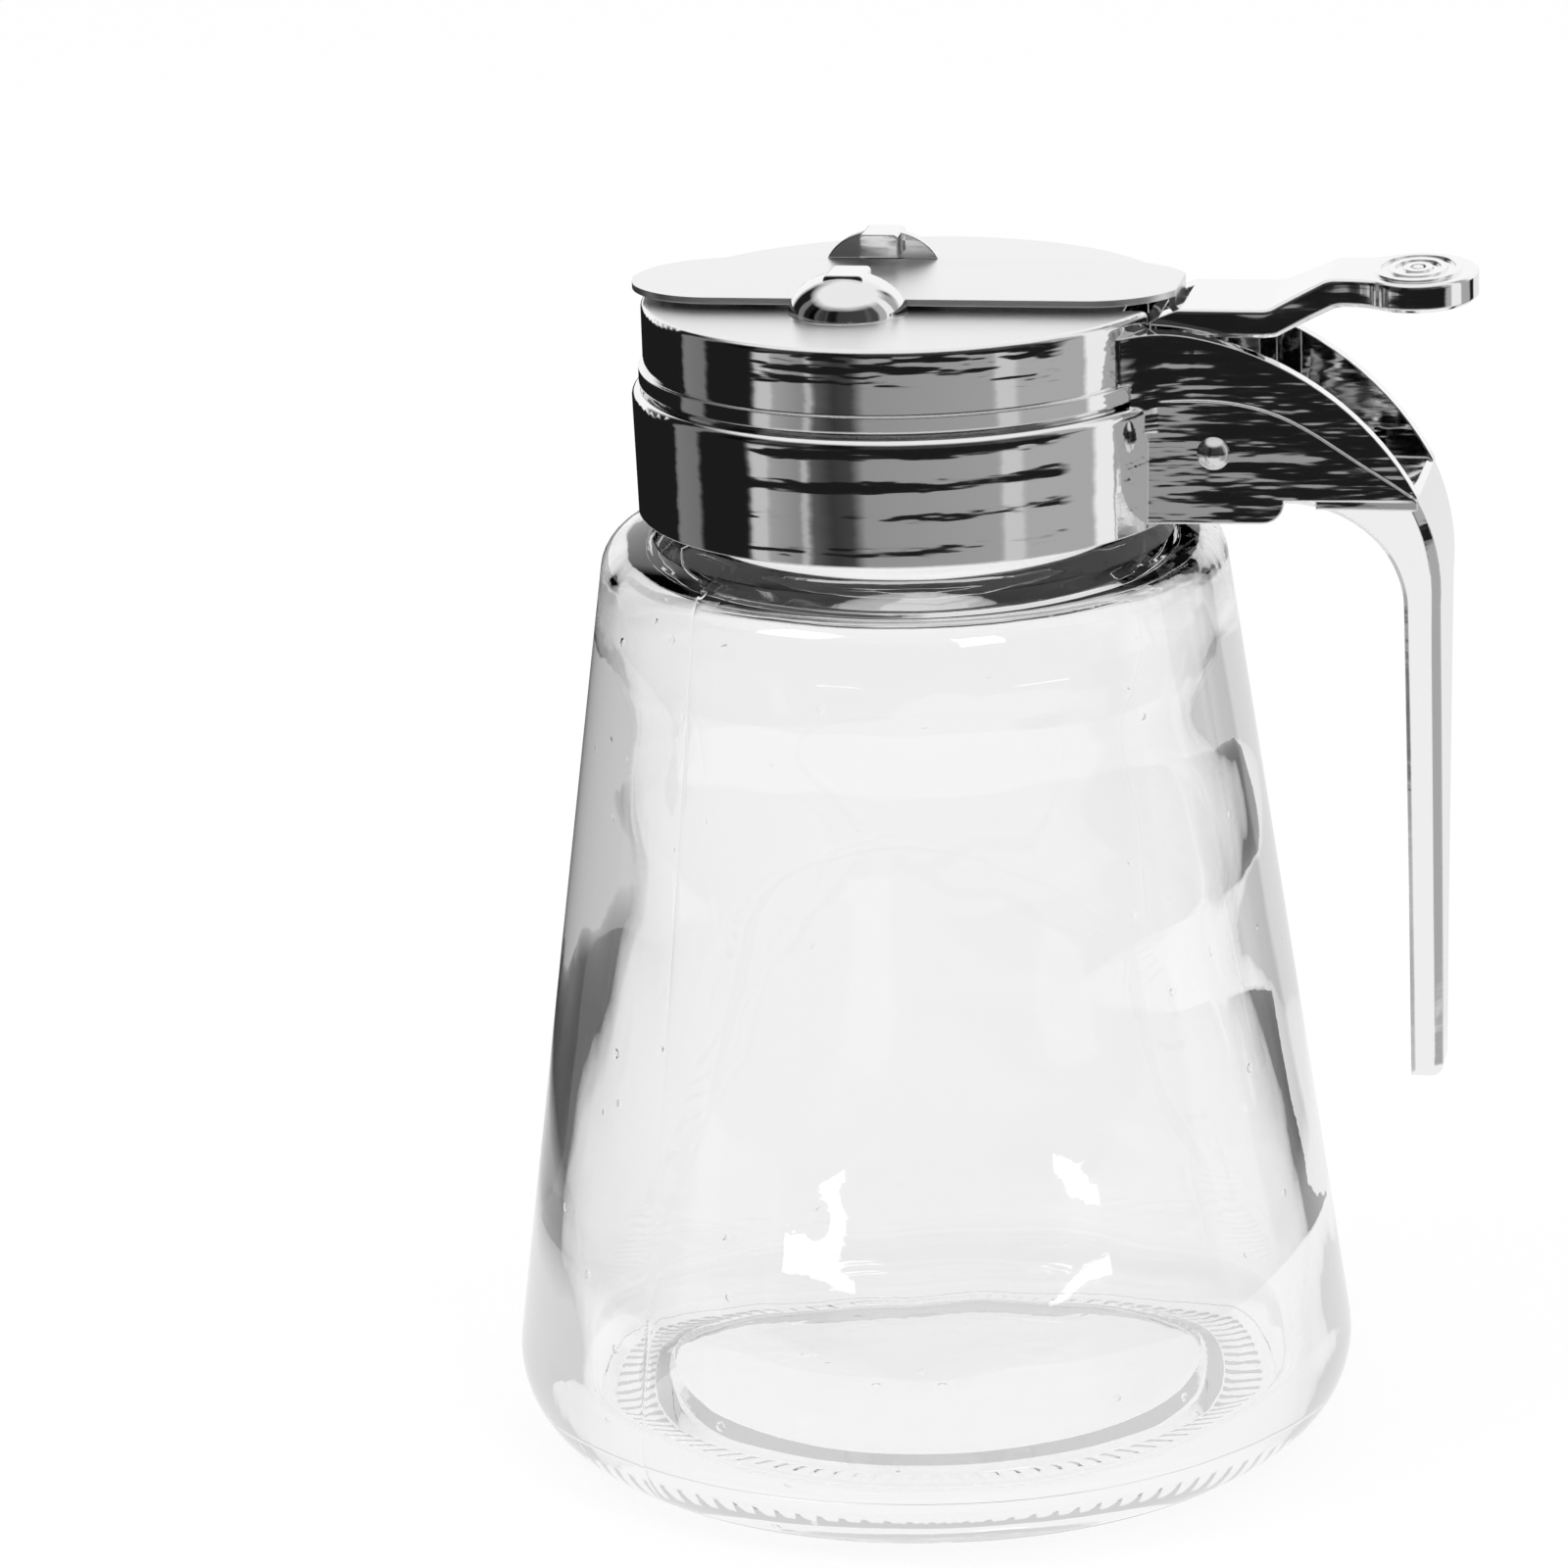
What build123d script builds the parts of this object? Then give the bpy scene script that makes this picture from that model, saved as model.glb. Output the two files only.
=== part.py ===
from build123d import *
import math
import os

# A glass syrup jug with a plated collar, handle and cap.  A thumb lever draws a steel shutter off
# the pour hole.  Millimetres.  Z runs up the jug's axis from the table, X points to the handle.

# ---- driving dimensions ----
# glass jug
side_foot_radius = 47.5        # the straight side carried down to the table
shoulder_radius = 33.8
shoulder_height = 97.0
heel_radius = 9.5
shoulder_rise = 3.6            # from the side's top to the corner of the shoulder
shoulder_round = 4.5
neck_rise = 3.4                # from that corner to the foot of the neck
neck_flare = 1.6               # how much wider the slope ends than the neck
neck_flare_drop = 0.6
neck_length = 10.6
neck_radius = 25.0
neck_bore_radius = 21.5
neck_bore_round = 2.5
rim_round = 0.8
side_wall = 4.2
floor_height = 5.6
floor_round = 7.0
punt_radius = 29.4
punt_depth = 2.6

# sealing ring
gasket_thickness = 1.2
gasket_bore_radius = 21.8
gasket_radius = 26.3

# collar band and its inner flange
flange_thickness = 2.0
collar_height = 13.5
collar_radius = 29.6
collar_draft = 0.3
collar_rim_round = 0.9
collar_bore_radius = 26.6
recess_depth = 1.0
recess_gap = 0.1               # around the cap's spigot

# cap
cap_wall_height = 6.9
foot_height = 1.7
groove_height = 0.6
cap_radius = 28.3
foot_radius = 28.8
groove_radius = 27.8
cap_bore_radius = 26.0
spigot_wall = 1.0
deck_thickness = 2.0
cap_edge_round = 0.6
cap_gap = 0.05                 # between the cap's wall and the cheeks that butt on it
pour_hole_radius = 5.25
pour_hole_reach = 20.5         # from the axis, away from the handle
pour_lip_wall = 1.3
pour_lip_height = 0.5
notch_side_gap = 1.0           # beside the lever
notch_start = 24.4
notch_depth = 4.6

# ears that hold the shutter down
ear_radius = 6.3
ear_height = 4.4
ear_place = -4.4               # along X
hook_width = 4.2
hook_reach = 2.4
hook_gap = 0.6                 # over the shutter
hook_root = 2.6                # how far the hook's block runs back into its ear
hook_round = 0.5

# shutter
shutter_width = 19.8
shutter_nose = 29.6
shutter_tail = 29.3
shutter_gauge = 0.7
tail_flat = 8.0                # width of the cut-off tail and of the tab bent down from it
tab_depth = 2.9
shutter_lift = 0.1             # running gap over the pour lip
shutter_side_gap = 0.3

# pivot
pivot_reach = 34.0             # from the jug's axis
pivot_drop = 14.5              # below the deck
pin_radius = 1.5
pin_dome_radius = 1.75
pin_dome_height = 1.2
pin_fit = 0.02
pin_head_root = 0.1            # how far the shaft runs up into its head
pin_cap_radius = 2.45
pin_cap_height = 2.2
pin_cap_rings = 3
pin_cap_bead = 0.25            # how far the rings stand out

# cheeks of the handle
cheek_gap_at_band = 17.6       # between the inner faces, at the band
cheek_gap_at_corner = 15.0     # and at the handle's top corner
lower_cheek_at_band = 22.9     # over the outer faces
lower_cheek_at_corner = 19.5
upper_cheek_at_band = 21.2
upper_cheek_at_corner = 18.4
cheek_start = 26.0
flare_start = 32.0
flare_width = 29.0             # over the cheeks where they meet the cap
flare_splay = 1.2              # how much further the flare spreads inside the cap's wall
arch_radius = 33.5
arch_crown_reach = 25.5
arch_crown_drop = 1.75
ledge_drop = 9.0
ledge_bends = ((41.6, 2.0), (48.9, 6.6))   # reach, and fall below the ledge's start
ledge_end_run = (0.8, -0.6)     # the way the ledge's line heads at the corner
plate_drop = 22.1
plate_end = 41.2
plate_corner = 2.2

# handle
corner_reach = 55.0            # the handle's top corner
corner_drop = 19.7
web_front = 44.5
web_rise = 0.5                 # platform between the cheeks, above the cheeks' lower edge
web_sink = 1.0                 # and how far it runs down into the gusset
gusset_depth = 0.5             # the gusset's thickness where it leaves the cheeks
bend_drop = 31.5               # where the bar turns straight
bar_outer_reach = 57.2
bar_thickness = 3.8
bar_end_lean = 0.4             # how far the bar's outer face leans in at its lower end
bar_bow_reach = 1.5            # the bow of the bar's back under the corner
bar_bow_drop = 4.0
bar_end_drop = 85.4
bar_end_width = 6.2
bar_mid_width = 11.4
bar_outer_bevel = 0.9
bar_inner_bevel = 0.5
bar_end_round = 1.4

# thumb lever
lever_width = 15.2
lever_depth = 3.0
lever_plate = 1.3
lever_skirt = 1.0
lever_front = 25.9
lever_front_lip = 1.6
lever_knee = 39.3              # where the flat plate ends
lever_shoulder = 1.2           # radius of the corner in plan where the neck starts
lever_ramp = 6.2               # length of the rise from the knee to the neck
lever_rise = 2.9
lever_bend = 3.0               # the bends' radius above and below
lever_heel = 1.5
lever_slant = 0.9              # how much further out the underside bends than the top
waist_reach = 46.4             # where the neck is narrowest
waist_width = 11.0
pad_reach = 54.3
pad_length = 12.6              # along X
pad_width = 16.4               # across, along Y
pad_join = 125.0               # angle round the pad, from +X, where the neck runs into it
pad_depth = 3.0
pad_ring_count = 3
pad_ring_length = 9.2
pad_ring_width = 13.6
pad_ring_height = 0.25
pad_ring_wall = 0.45           # share of the rings' spacing that stands up
pad_nub = 0.12                 # the middle's share of the rings' field
lever_edge = 0.45
pad_under_edge = 0.4           # flat under the pad's rim
slot_front = 27.9
slot_length = 2.3
slot_side_gap = 0.3
front_clearance = 0.2          # the lever's front end under the shutter as it swings
hub_radius = 3.4
hub_width = 4.4
hub_fit = 0.05
leg_reach = 37.8
leg_thickness = 1.9
leg_foot_rise = 4.0            # above the pivot, where the leg's outer face starts to curl
leg_curl = 0.3                 # the curl's middle, behind the leg's inner face
leg_throat = 1.2               # the inner curl's middle, in front of it
leg_root = 1.2                 # where the curls meet the hub, from the pivot
pocket_wall = 0.6              # between the lever's pocket and its leg

# torsion spring
wire = 0.8
coil_turns = 3
coil_pitch = 0.84
coil_radius = 2.2              # to the wire's centre
spring_gap = 0.05
spring_foot = 2.0              # how far the lower leg reaches over the web
spring_tip_drop = 0.9          # the upper leg's end, below the lever's plate

# ---- places worked out from the driving dimensions ----
shoulder_corner = shoulder_height + shoulder_rise
neck_foot_height = shoulder_corner + neck_rise
rim_height = neck_foot_height + neck_length
seat_height = rim_height + gasket_thickness
collar_top = seat_height + flange_thickness
collar_bottom = collar_top - collar_height
foot_bottom = collar_top + groove_height
foot_top = foot_bottom + foot_height
deck = foot_top + cap_wall_height
deck_underside = deck - deck_thickness
shutter_bottom = deck + pour_lip_height + shutter_lift
shutter_top = shutter_bottom + shutter_gauge
ear_face = shutter_width / 2 + shutter_side_gap
hook_thickness = deck + ear_height - shutter_top - hook_gap
notch_width = lever_width + 2 * notch_side_gap
pivot = (pivot_reach, deck - pivot_drop)
corner_height = deck - corner_drop
plate_bottom = deck - plate_drop
web_top = corner_height + web_rise
bar_bottom = deck - bar_end_drop
bend_height = deck - bend_drop
bar_inner_reach = bar_outer_reach - bar_thickness
lever_neck_start = lever_knee + lever_ramp
slot_end = slot_front + slot_length
BIG = 200.0                    # longer than any piece, for cutting and trimming
margin = 3.0                   # how far a solid or a cutter runs on past its cut


def on_section(*points):
    """Points given as (along X, up Z), placed on the jug's middle section."""
    return [Vector(x, 0, z) for x, z in points]


def across(face, width, centre=0.0):
    """A face on the middle section, drawn out along Y to a width about a centre."""
    solid = extrude(face, amount=width / 2, dir=(0, 1, 0), both=True)
    return Pos(0, centre, 0) * solid


def rod(radius, low, high, reach=pivot[0], height=pivot[1]):
    """A cylinder along Y between two places."""
    length = high - low
    return Pos(reach, (low + high) / 2, height) * Rot(90, 0, 0) * Cylinder(radius, length)


def post(radius, low, high, reach=0.0):
    """A cylinder along Z between two heights."""
    return Pos(reach, 0, (low + high) / 2) * Cylinder(radius, high - low)


def half_gap(reach, at_band, at_corner):
    """Half of a width that runs straight from the band to the handle's top corner."""
    share = (reach - cheek_start) / (corner_reach - cheek_start)
    return (at_band + (at_corner - at_band) * share) / 2


# ---- glass jug ----
def glass_jug():
    taper = (side_foot_radius - shoulder_radius) / shoulder_height
    outer = [
        (0, 0),
        (side_foot_radius, 0),
        (side_foot_radius - taper * shoulder_corner, shoulder_corner),
        (neck_radius + neck_flare, neck_foot_height - neck_flare_drop),
        (neck_radius, neck_foot_height),
        (neck_radius, rim_height),
        (0, rim_height),
    ]
    shell = make_face(Polyline(*on_section(*outer), close=True).edges())
    corner = shell.vertices().sort_by_distance((side_foot_radius, 0, 0))[0]
    shell = fillet(corner, heel_radius)
    for reach, height, size in (
        (side_foot_radius - taper * shoulder_corner, shoulder_corner, shoulder_round),
        (neck_radius, rim_height, rim_round),
    ):
        corner = shell.vertices().sort_by_distance((reach, 0, height))[0]
        shell = fillet(corner, size)
    inner_corner = shoulder_corner - side_wall
    hollow = [
        (0, floor_height),
        (side_foot_radius - taper * floor_height - side_wall, floor_height),
        (side_foot_radius - taper * inner_corner - side_wall, inner_corner),
        (neck_bore_radius, neck_foot_height - neck_flare_drop),
        (neck_bore_radius, rim_height + margin),
        (0, rim_height + margin),
    ]
    cavity = make_face(Polyline(*on_section(*hollow), close=True).edges())
    rounds = (floor_round, shoulder_round, neck_bore_round)
    for place, size in zip(hollow[1:4], rounds):
        corner = cavity.vertices().sort_by_distance((place[0], 0, place[1]))[0]
        cavity = fillet(corner, size)
    dome = ThreePointArc(
        (-punt_radius, 0, 0), (0, 0, punt_depth), (punt_radius, 0, 0)
    )
    punt = make_face([dome, Line((punt_radius, 0, 0), (-punt_radius, 0, 0))])
    right_half = Pos(BIG / 2, 0, 0) * Box(BIG, BIG, BIG)
    glass = revolve(shell, Axis.Z) - revolve(cavity, Axis.Z)
    return glass - revolve(punt & right_half, Axis.Z)


# ---- sealing ring ----
def neck_gasket():
    ring = post(gasket_radius, rim_height, seat_height)
    return ring - post(gasket_bore_radius, rim_height - margin, seat_height + margin)


# ---- collar, cheeks and handle ----
def collar_band():
    outline = [
        (gasket_bore_radius, seat_height),
        (collar_bore_radius, seat_height),
        (collar_bore_radius, collar_bottom),
        (collar_radius - collar_draft, collar_bottom),
        (collar_radius, collar_top),
        (cap_bore_radius + spigot_wall + recess_gap, collar_top),
        (cap_bore_radius + spigot_wall + recess_gap, collar_top - recess_depth),
        (gasket_bore_radius, collar_top - recess_depth),
    ]
    face = make_face(Polyline(*on_section(*outline), close=True).edges())
    rim = face.vertices().sort_by_distance((collar_radius, 0, collar_top))[0]
    return revolve(fillet(rim, collar_rim_round), Axis.Z)


def cheek_pair(side_view, gap_at_band, gap_at_corner, over_at_band, over_at_corner, flared):
    """Two cheeks with one side view, between an inner and an outer plan line."""
    back = cheek_start - margin
    inner = [
        Vector(back, half_gap(back, gap_at_band, gap_at_corner)),
        Vector(corner_reach, half_gap(corner_reach, gap_at_band, gap_at_corner)),
    ]
    tip = Vector(corner_reach, half_gap(corner_reach, over_at_band, over_at_corner))
    if flared:
        turn = Vector(flare_start, half_gap(flare_start, over_at_band, over_at_corner))
        edge_reach = math.sqrt(cap_radius**2 - (flare_width / 2) ** 2)
        butt = Vector(edge_reach, flare_width / 2)
        start = Vector(back, flare_width / 2 + flare_splay)
        flare = Spline(turn, butt, start, tangents=(turn - tip, start - butt))
        lines = [Line(tip, turn), flare, Line(start, inner[0])]
    else:
        start = Vector(cheek_start, half_gap(cheek_start, over_at_band, over_at_corner))
        first = Vector(cheek_start, half_gap(cheek_start, gap_at_band, gap_at_corner))
        inner[0] = first
        lines = [Line(tip, start), Line(start, first)]
    plan = make_face([Line(*inner), Line(inner[1], tip)] + lines)
    column = extrude(plan, amount=BIG)
    cheek = column & across(side_view, BIG)
    return cheek + mirror(cheek, Plane.XZ)


def cheeks():
    arch_centre = (arch_crown_reach, deck - arch_crown_drop - arch_radius)
    arch_end = corner_reach - arch_centre[0]
    arch_drop = math.sqrt(arch_radius**2 - arch_end**2)
    swing = math.atan2(arch_drop, arch_end) / 2 + math.pi / 4
    mid = (
        arch_centre[0] + arch_radius * math.cos(swing),
        arch_centre[1] + arch_radius * math.sin(swing),
    )
    crown = (arch_centre[0], arch_centre[1] + arch_radius)
    tip = (corner_reach, arch_centre[1] + arch_drop)
    back = cheek_start - margin
    low = collar_top - margin
    upper_view = make_face(
        [
            Line(*on_section((back, low), (back, crown[1]))),
            Line(*on_section((back, crown[1]), crown)),
            ThreePointArc(*on_section(crown, mid, tip)),
            Line(*on_section(tip, (corner_reach, corner_height))),
            Line(*on_section((corner_reach, corner_height), (plate_end, corner_height))),
            Line(*on_section((plate_end, corner_height), (plate_end, low))),
            Line(*on_section((plate_end, low), (back, low))),
        ]
    )
    upper = cheek_pair(
        upper_view,
        cheek_gap_at_band,
        cheek_gap_at_corner,
        upper_cheek_at_band,
        upper_cheek_at_corner,
        True,
    )
    ledge = deck - ledge_drop
    bends = [(reach, ledge - fall) for reach, fall in ledge_bends]
    ledge_line = Spline(
        *on_section((flare_start, ledge), *bends, (corner_reach, corner_height)),
        tangents=on_section((1, 0), ledge_end_run),
    )
    lower_view = make_face(
        [
            Line(*on_section((cheek_start, plate_bottom), (cheek_start, ledge))),
            Line(*on_section((cheek_start, ledge), (flare_start, ledge))),
            ledge_line,
            Line(*on_section((corner_reach, corner_height), (plate_end, corner_height))),
            Line(*on_section((plate_end, corner_height), (plate_end, plate_bottom))),
            Line(*on_section((plate_end, plate_bottom), (cheek_start, plate_bottom))),
        ]
    )
    corner = lower_view.vertices().sort_by_distance((plate_end, 0, plate_bottom))[0]
    lower_view = fillet(corner, plate_corner)
    lower = cheek_pair(
        lower_view,
        cheek_gap_at_band,
        cheek_gap_at_corner,
        lower_cheek_at_band,
        lower_cheek_at_corner,
        False,
    )
    return upper + lower


def handle_bar():
    """The gusset under the cheeks and the bar that hangs from it."""
    gusset_bottom = corner_height - gusset_depth
    bend = EllipticalCenterArc(
        (plate_end, bend_height),
        bar_inner_reach - plate_end,
        gusset_bottom - bend_height,
        arc_size=90,
    )
    bend = Plane.XZ * bend
    bow = ThreePointArc(
        *on_section(
            (corner_reach, corner_height),
            (corner_reach + bar_bow_reach, corner_height - bar_bow_drop),
            (bar_outer_reach, bend_height),
        )
    )
    lower_end = (bar_outer_reach - bar_end_lean, bar_bottom)
    outline = [
        bend,
        Line(*on_section((plate_end, gusset_bottom), (plate_end, corner_height))),
        Line(*on_section((plate_end, corner_height), (corner_reach, corner_height))),
        bow,
        Line(*on_section((bar_outer_reach, bend_height), lower_end)),
        Line(*on_section(lower_end, (bar_inner_reach, bar_bottom))),
        Line(*on_section((bar_inner_reach, bar_bottom), (bar_inner_reach, bend_height))),
    ]
    side_view = make_face(outline)
    corner = side_view.vertices().sort_by_distance((lower_end[0], 0, lower_end[1]))[0]
    side_view = fillet(corner, bar_end_round)
    top = lower_cheek_at_corner / 2
    middle = (corner_height + bar_bottom) / 2
    taper = ThreePointArc(
        (0, top, corner_height),
        (0, bar_mid_width / 2, middle),
        (0, bar_end_width / 2, bar_bottom),
    )
    front_view = make_face(
        [
            taper,
            Line((0, bar_end_width / 2, bar_bottom), (0, -bar_end_width / 2, bar_bottom)),
            mirror(taper, Plane.XZ),
            Line((0, -top, corner_height), (0, top, corner_height)),
        ]
    )
    slab = extrude(front_view, amount=BIG, dir=(1, 0, 0))
    bar = across(side_view, BIG) & slab
    return bevel_bar(bar)


def bevel_bar(bar):
    """Flat bevels down the bar's four long edges, wider on the outside."""
    def long_edges(side):
        found = []
        for edge in bar.edges():
            middle = edge.center()
            at_side = abs(middle.Y) > bar_end_width / 4 and edge.length > bar_end_width
            if side == "inner" and middle.Z < bend_height:
                near = abs(middle.X - bar_inner_reach) < bar_thickness / 4
            else:
                near = side == "outer" and middle.X > bar_outer_reach - bar_thickness / 2
            if at_side and near:
                found.append(edge)
        return found

    bar = chamfer(long_edges("outer"), bar_outer_bevel)
    return chamfer(long_edges("inner"), bar_inner_bevel)


def web():
    """The platform between the cheeks at the handle's top corner."""
    web_bottom = corner_height - web_sink
    outline = [
        (web_front, web_bottom),
        (web_front, web_top),
        (corner_reach - web_rise, web_top),
        (corner_reach, corner_height),
        (corner_reach, web_bottom),
    ]
    face = make_face(Polyline(*on_section(*outline), close=True).edges())
    return across(face, lower_cheek_at_corner)


def throat():
    """The space between the cheeks, open from top to bottom in front of the platform."""
    sides = [
        (reach, half_gap(reach, cheek_gap_at_band, cheek_gap_at_corner))
        for reach in (cheek_start, web_front)
    ]
    plan = sides + [(reach, -half) for reach, half in reversed(sides)]
    face = make_face(Polyline(*plan, close=True).edges())
    return extrude(face, amount=BIG)


def collar_handle():
    grip = cheeks() + handle_bar() + web() - throat()
    # the cheeks root in the band's wall and stop short of the cap
    root_radius = (collar_bore_radius + collar_radius) / 2
    grip -= post(root_radius, collar_bottom - margin, collar_top)
    grip -= post(cap_radius + cap_gap, collar_top, deck + margin)
    grip -= post(foot_radius + cap_gap, collar_top, foot_top + cap_gap)
    body = collar_band() + grip
    return body - rod(pin_radius + pin_fit, -BIG / 2, BIG / 2)


# ---- cap ----
def ear(side):
    """Half a dome beside the shutter, with a hook that reaches over it."""
    quarter = make_face(
        [
            Line((0, 0, 0), (ear_radius, 0, 0)),
            Plane.XZ * EllipticalCenterArc((0, 0), ear_radius, ear_height, arc_size=90),
            Line((0, 0, ear_height), (0, 0, 0)),
        ]
    )
    dome = revolve(quarter, Axis.Z)
    dome &= Pos(0, BIG / 2, 0) * Box(BIG, BIG, BIG)
    length = hook_reach + hook_root
    hook = Box(hook_width, length, hook_thickness)
    hook = Pos(0, hook_root - length / 2, ear_height - hook_thickness / 2) * hook
    hook = fillet(hook.edges().filter_by(Axis.Y).group_by(Axis.Z)[-1], hook_round)
    dome += hook
    placed = Pos(ear_place, ear_face, deck) * dome
    return placed if side > 0 else mirror(placed, Plane.XZ)


def top_cap():
    spigot = cap_bore_radius + spigot_wall
    outline = [
        (0, deck_underside),
        (cap_bore_radius, deck_underside),
        (cap_bore_radius, collar_top - recess_depth),
        (spigot, collar_top - recess_depth),
        (spigot, collar_top),
        (groove_radius, collar_top),
        (groove_radius, foot_bottom),
        (foot_radius, foot_bottom),
        (foot_radius, foot_top),
        (cap_radius, foot_top),
        (cap_radius, deck),
        (0, deck),
    ]
    face = make_face(Polyline(*on_section(*outline), close=True).edges())
    rim = face.vertices().sort_by_distance((cap_radius, 0, deck))[0]
    cap = revolve(fillet(rim, cap_edge_round), Axis.Z)
    lip_radius = pour_hole_radius + pour_lip_wall
    cap += post(lip_radius, deck_underside, deck + pour_lip_height, -pour_hole_reach)
    cap -= post(pour_hole_radius, deck_underside - margin, deck + margin, -pour_hole_reach)
    cap += ear(1) + ear(-1)
    notch = Box(BIG, notch_width, BIG)
    cap -= Pos(notch_start + BIG / 2, 0, deck - notch_depth + BIG / 2) * notch
    return cap


# ---- shutter ----
def shutter():
    radius = shutter_width / 2
    centre = shutter_nose - radius
    strip = Rectangle(2 * centre, shutter_width)
    plan = strip + Pos(-centre, 0) * Circle(radius)
    reach = math.sqrt(radius**2 - (tail_flat / 2) ** 2)
    tail_centre = shutter_tail - reach
    plan += Pos(tail_centre, 0) * Circle(radius)
    trim = Rectangle(BIG, BIG)
    plan -= Pos(shutter_tail + BIG / 2, 0) * trim
    plate = Pos(0, 0, shutter_bottom) * extrude(plan, amount=shutter_gauge)
    tab = Box(shutter_gauge, tail_flat, tab_depth + shutter_gauge)
    tab_place = shutter_tail - shutter_gauge / 2
    tab = Pos(tab_place, 0, shutter_top - (tab_depth + shutter_gauge) / 2) * tab
    return plate + tab


# ---- thumb lever ----
def under_shutter(reach):
    """The height at which the lever's front passes below the shutter as it swings."""
    swing = shutter_bottom - front_clearance - pivot[1]
    return pivot[1] + math.sqrt(swing**2 - (reach - pivot[0]) ** 2)


def lever_side_view():
    """The lever's bent plate seen from the side, with the pad's slab at its end."""
    rise = deck + lever_rise
    nose = under_shutter(lever_front)
    end = pad_reach + pad_length
    outline = [
        (lever_front, nose - lever_front_lip),
        (lever_front, nose),
        (slot_front, under_shutter(slot_front)),
        (slot_end, deck),
        (lever_knee, deck),
        (lever_neck_start, rise),
        (end, rise),
        (end, rise - pad_depth),
        (lever_neck_start + lever_slant, rise - pad_depth),
        (lever_knee + lever_slant, deck - lever_depth),
        (slot_front, deck - lever_depth),
    ]
    face = make_face(Polyline(*on_section(*outline), close=True).edges())
    for place, size in (
        (outline[4], lever_bend),
        (outline[5], lever_bend),
        (outline[8], lever_bend),
        (outline[9], lever_heel),
    ):
        corner = face.vertices().sort_by_distance((place[0], 0, place[1]))[0]
        face = fillet(corner, size)
    return face


def lever_plan():
    """The lever from above: a straight plate, a waisted neck and an oval pad."""
    half = lever_width / 2
    join = math.radians(pad_join)
    pad = (pad_length / 2, pad_width / 2)
    meet = Vector(pad_reach + pad[0] * math.cos(join), pad[1] * math.sin(join))
    along_pad = Vector(pad[0] * math.sin(join), -pad[1] * math.cos(join))
    narrowing = Vector(waist_reach - lever_knee, waist_width - lever_width)
    side = Spline(
        (lever_knee, half),
        (waist_reach, waist_width / 2),
        meet,
        tangents=(narrowing, along_pad),
    )
    plate = [
        side,
        mirror(side, Plane.XZ),
        Line(side @ 1, mirror(side, Plane.XZ) @ 1),
        Line((lever_knee, half), (lever_front, half)),
        Line((lever_front, half), (lever_front, -half)),
        Line((lever_front, -half), (lever_knee, -half)),
    ]
    plan = make_face(plate)
    corners = [v for v in plan.vertices() if abs(v.X - lever_knee) < lever_shoulder / 2]
    plan = fillet(corners, lever_shoulder)
    return plan + Pos(pad_reach, 0) * Ellipse(*pad)


def lever_leg():
    """The leg that curls from the plate down to the hub."""
    knee = deck - lever_plate
    outside = leg_reach + leg_thickness
    foot = pivot[1] + leg_foot_rise
    low = (pivot[0] + leg_root, pivot[1] - hub_radius + leg_curl)
    high = (pivot[0] + leg_root, pivot[1] + hub_radius - leg_curl)
    inner_foot = foot + hub_radius - leg_curl
    outer_curl = (leg_reach + leg_curl, pivot[1] - leg_thickness / 2)
    inner_curl = (leg_reach - leg_throat, foot + leg_root - leg_curl)
    face = make_face(
        [
            Line(*on_section((leg_reach, knee), (outside, knee))),
            Line(*on_section((outside, knee), (outside, foot))),
            ThreePointArc(*on_section((outside, foot), outer_curl, low)),
            Line(*on_section(low, pivot)),
            Line(*on_section(pivot, high)),
            ThreePointArc(*on_section(high, inner_curl, (leg_reach, inner_foot))),
            Line(*on_section((leg_reach, inner_foot), (leg_reach, knee))),
        ]
    )
    return across(face, hub_width)


def pad_rings():
    """Raised oval rings on the thumb pad, one inside another, about a small nub."""
    across_rings, along_rings = pad_ring_width / 2, pad_ring_length / 2
    faces = [Ellipse(pad_nub * along_rings, pad_nub * across_rings)]
    for ring in range(pad_ring_count):
        outer = 1 - ring / pad_ring_count
        inner = outer - pad_ring_wall / pad_ring_count
        face = Ellipse(outer * along_rings, outer * across_rings)
        faces.append(face - Ellipse(inner * along_rings, inner * across_rings))
    place = Pos(pad_reach, 0, deck + lever_rise)
    return [place * extrude(face, amount=pad_ring_height) for face in faces]


def thumb_lever():
    body = across(lever_side_view(), BIG)
    body &= extrude(lever_plan(), amount=BIG)
    pad_top = body.faces().sort_by(Axis.Z)[-1]
    body = fillet(pad_top.edges(), lever_edge)
    underside = deck + lever_rise - pad_depth
    rim = [
        edge
        for edge in body.edges()
        if abs(edge.bounding_box().min.Z - underside) < lever_edge / 4
        and abs(edge.bounding_box().max.Z - underside) < lever_edge / 4
        and edge.center().X > waist_reach + lever_slant
    ]
    body = chamfer(rim, pad_under_edge)
    # pocket under the plate, between the skirts
    pocket_width = lever_width - 2 * lever_skirt
    pocket_end = leg_reach - pocket_wall
    pocket = Box(pocket_end - slot_front, pocket_width, BIG)
    body -= Pos((slot_front + pocket_end) / 2, 0, deck - lever_plate - BIG / 2) * pocket
    # slot for the shutter's tab
    slot = Box(slot_length, tail_flat + 2 * slot_side_gap, BIG)
    body -= Pos((slot_front + slot_end) / 2, 0, deck) * slot
    body += lever_leg()
    body += rod(hub_radius, -hub_width / 2, hub_width / 2)
    body -= rod(pin_radius + hub_fit, -BIG / 2, BIG / 2)
    for ring in pad_rings():
        body += ring
    return body


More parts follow.
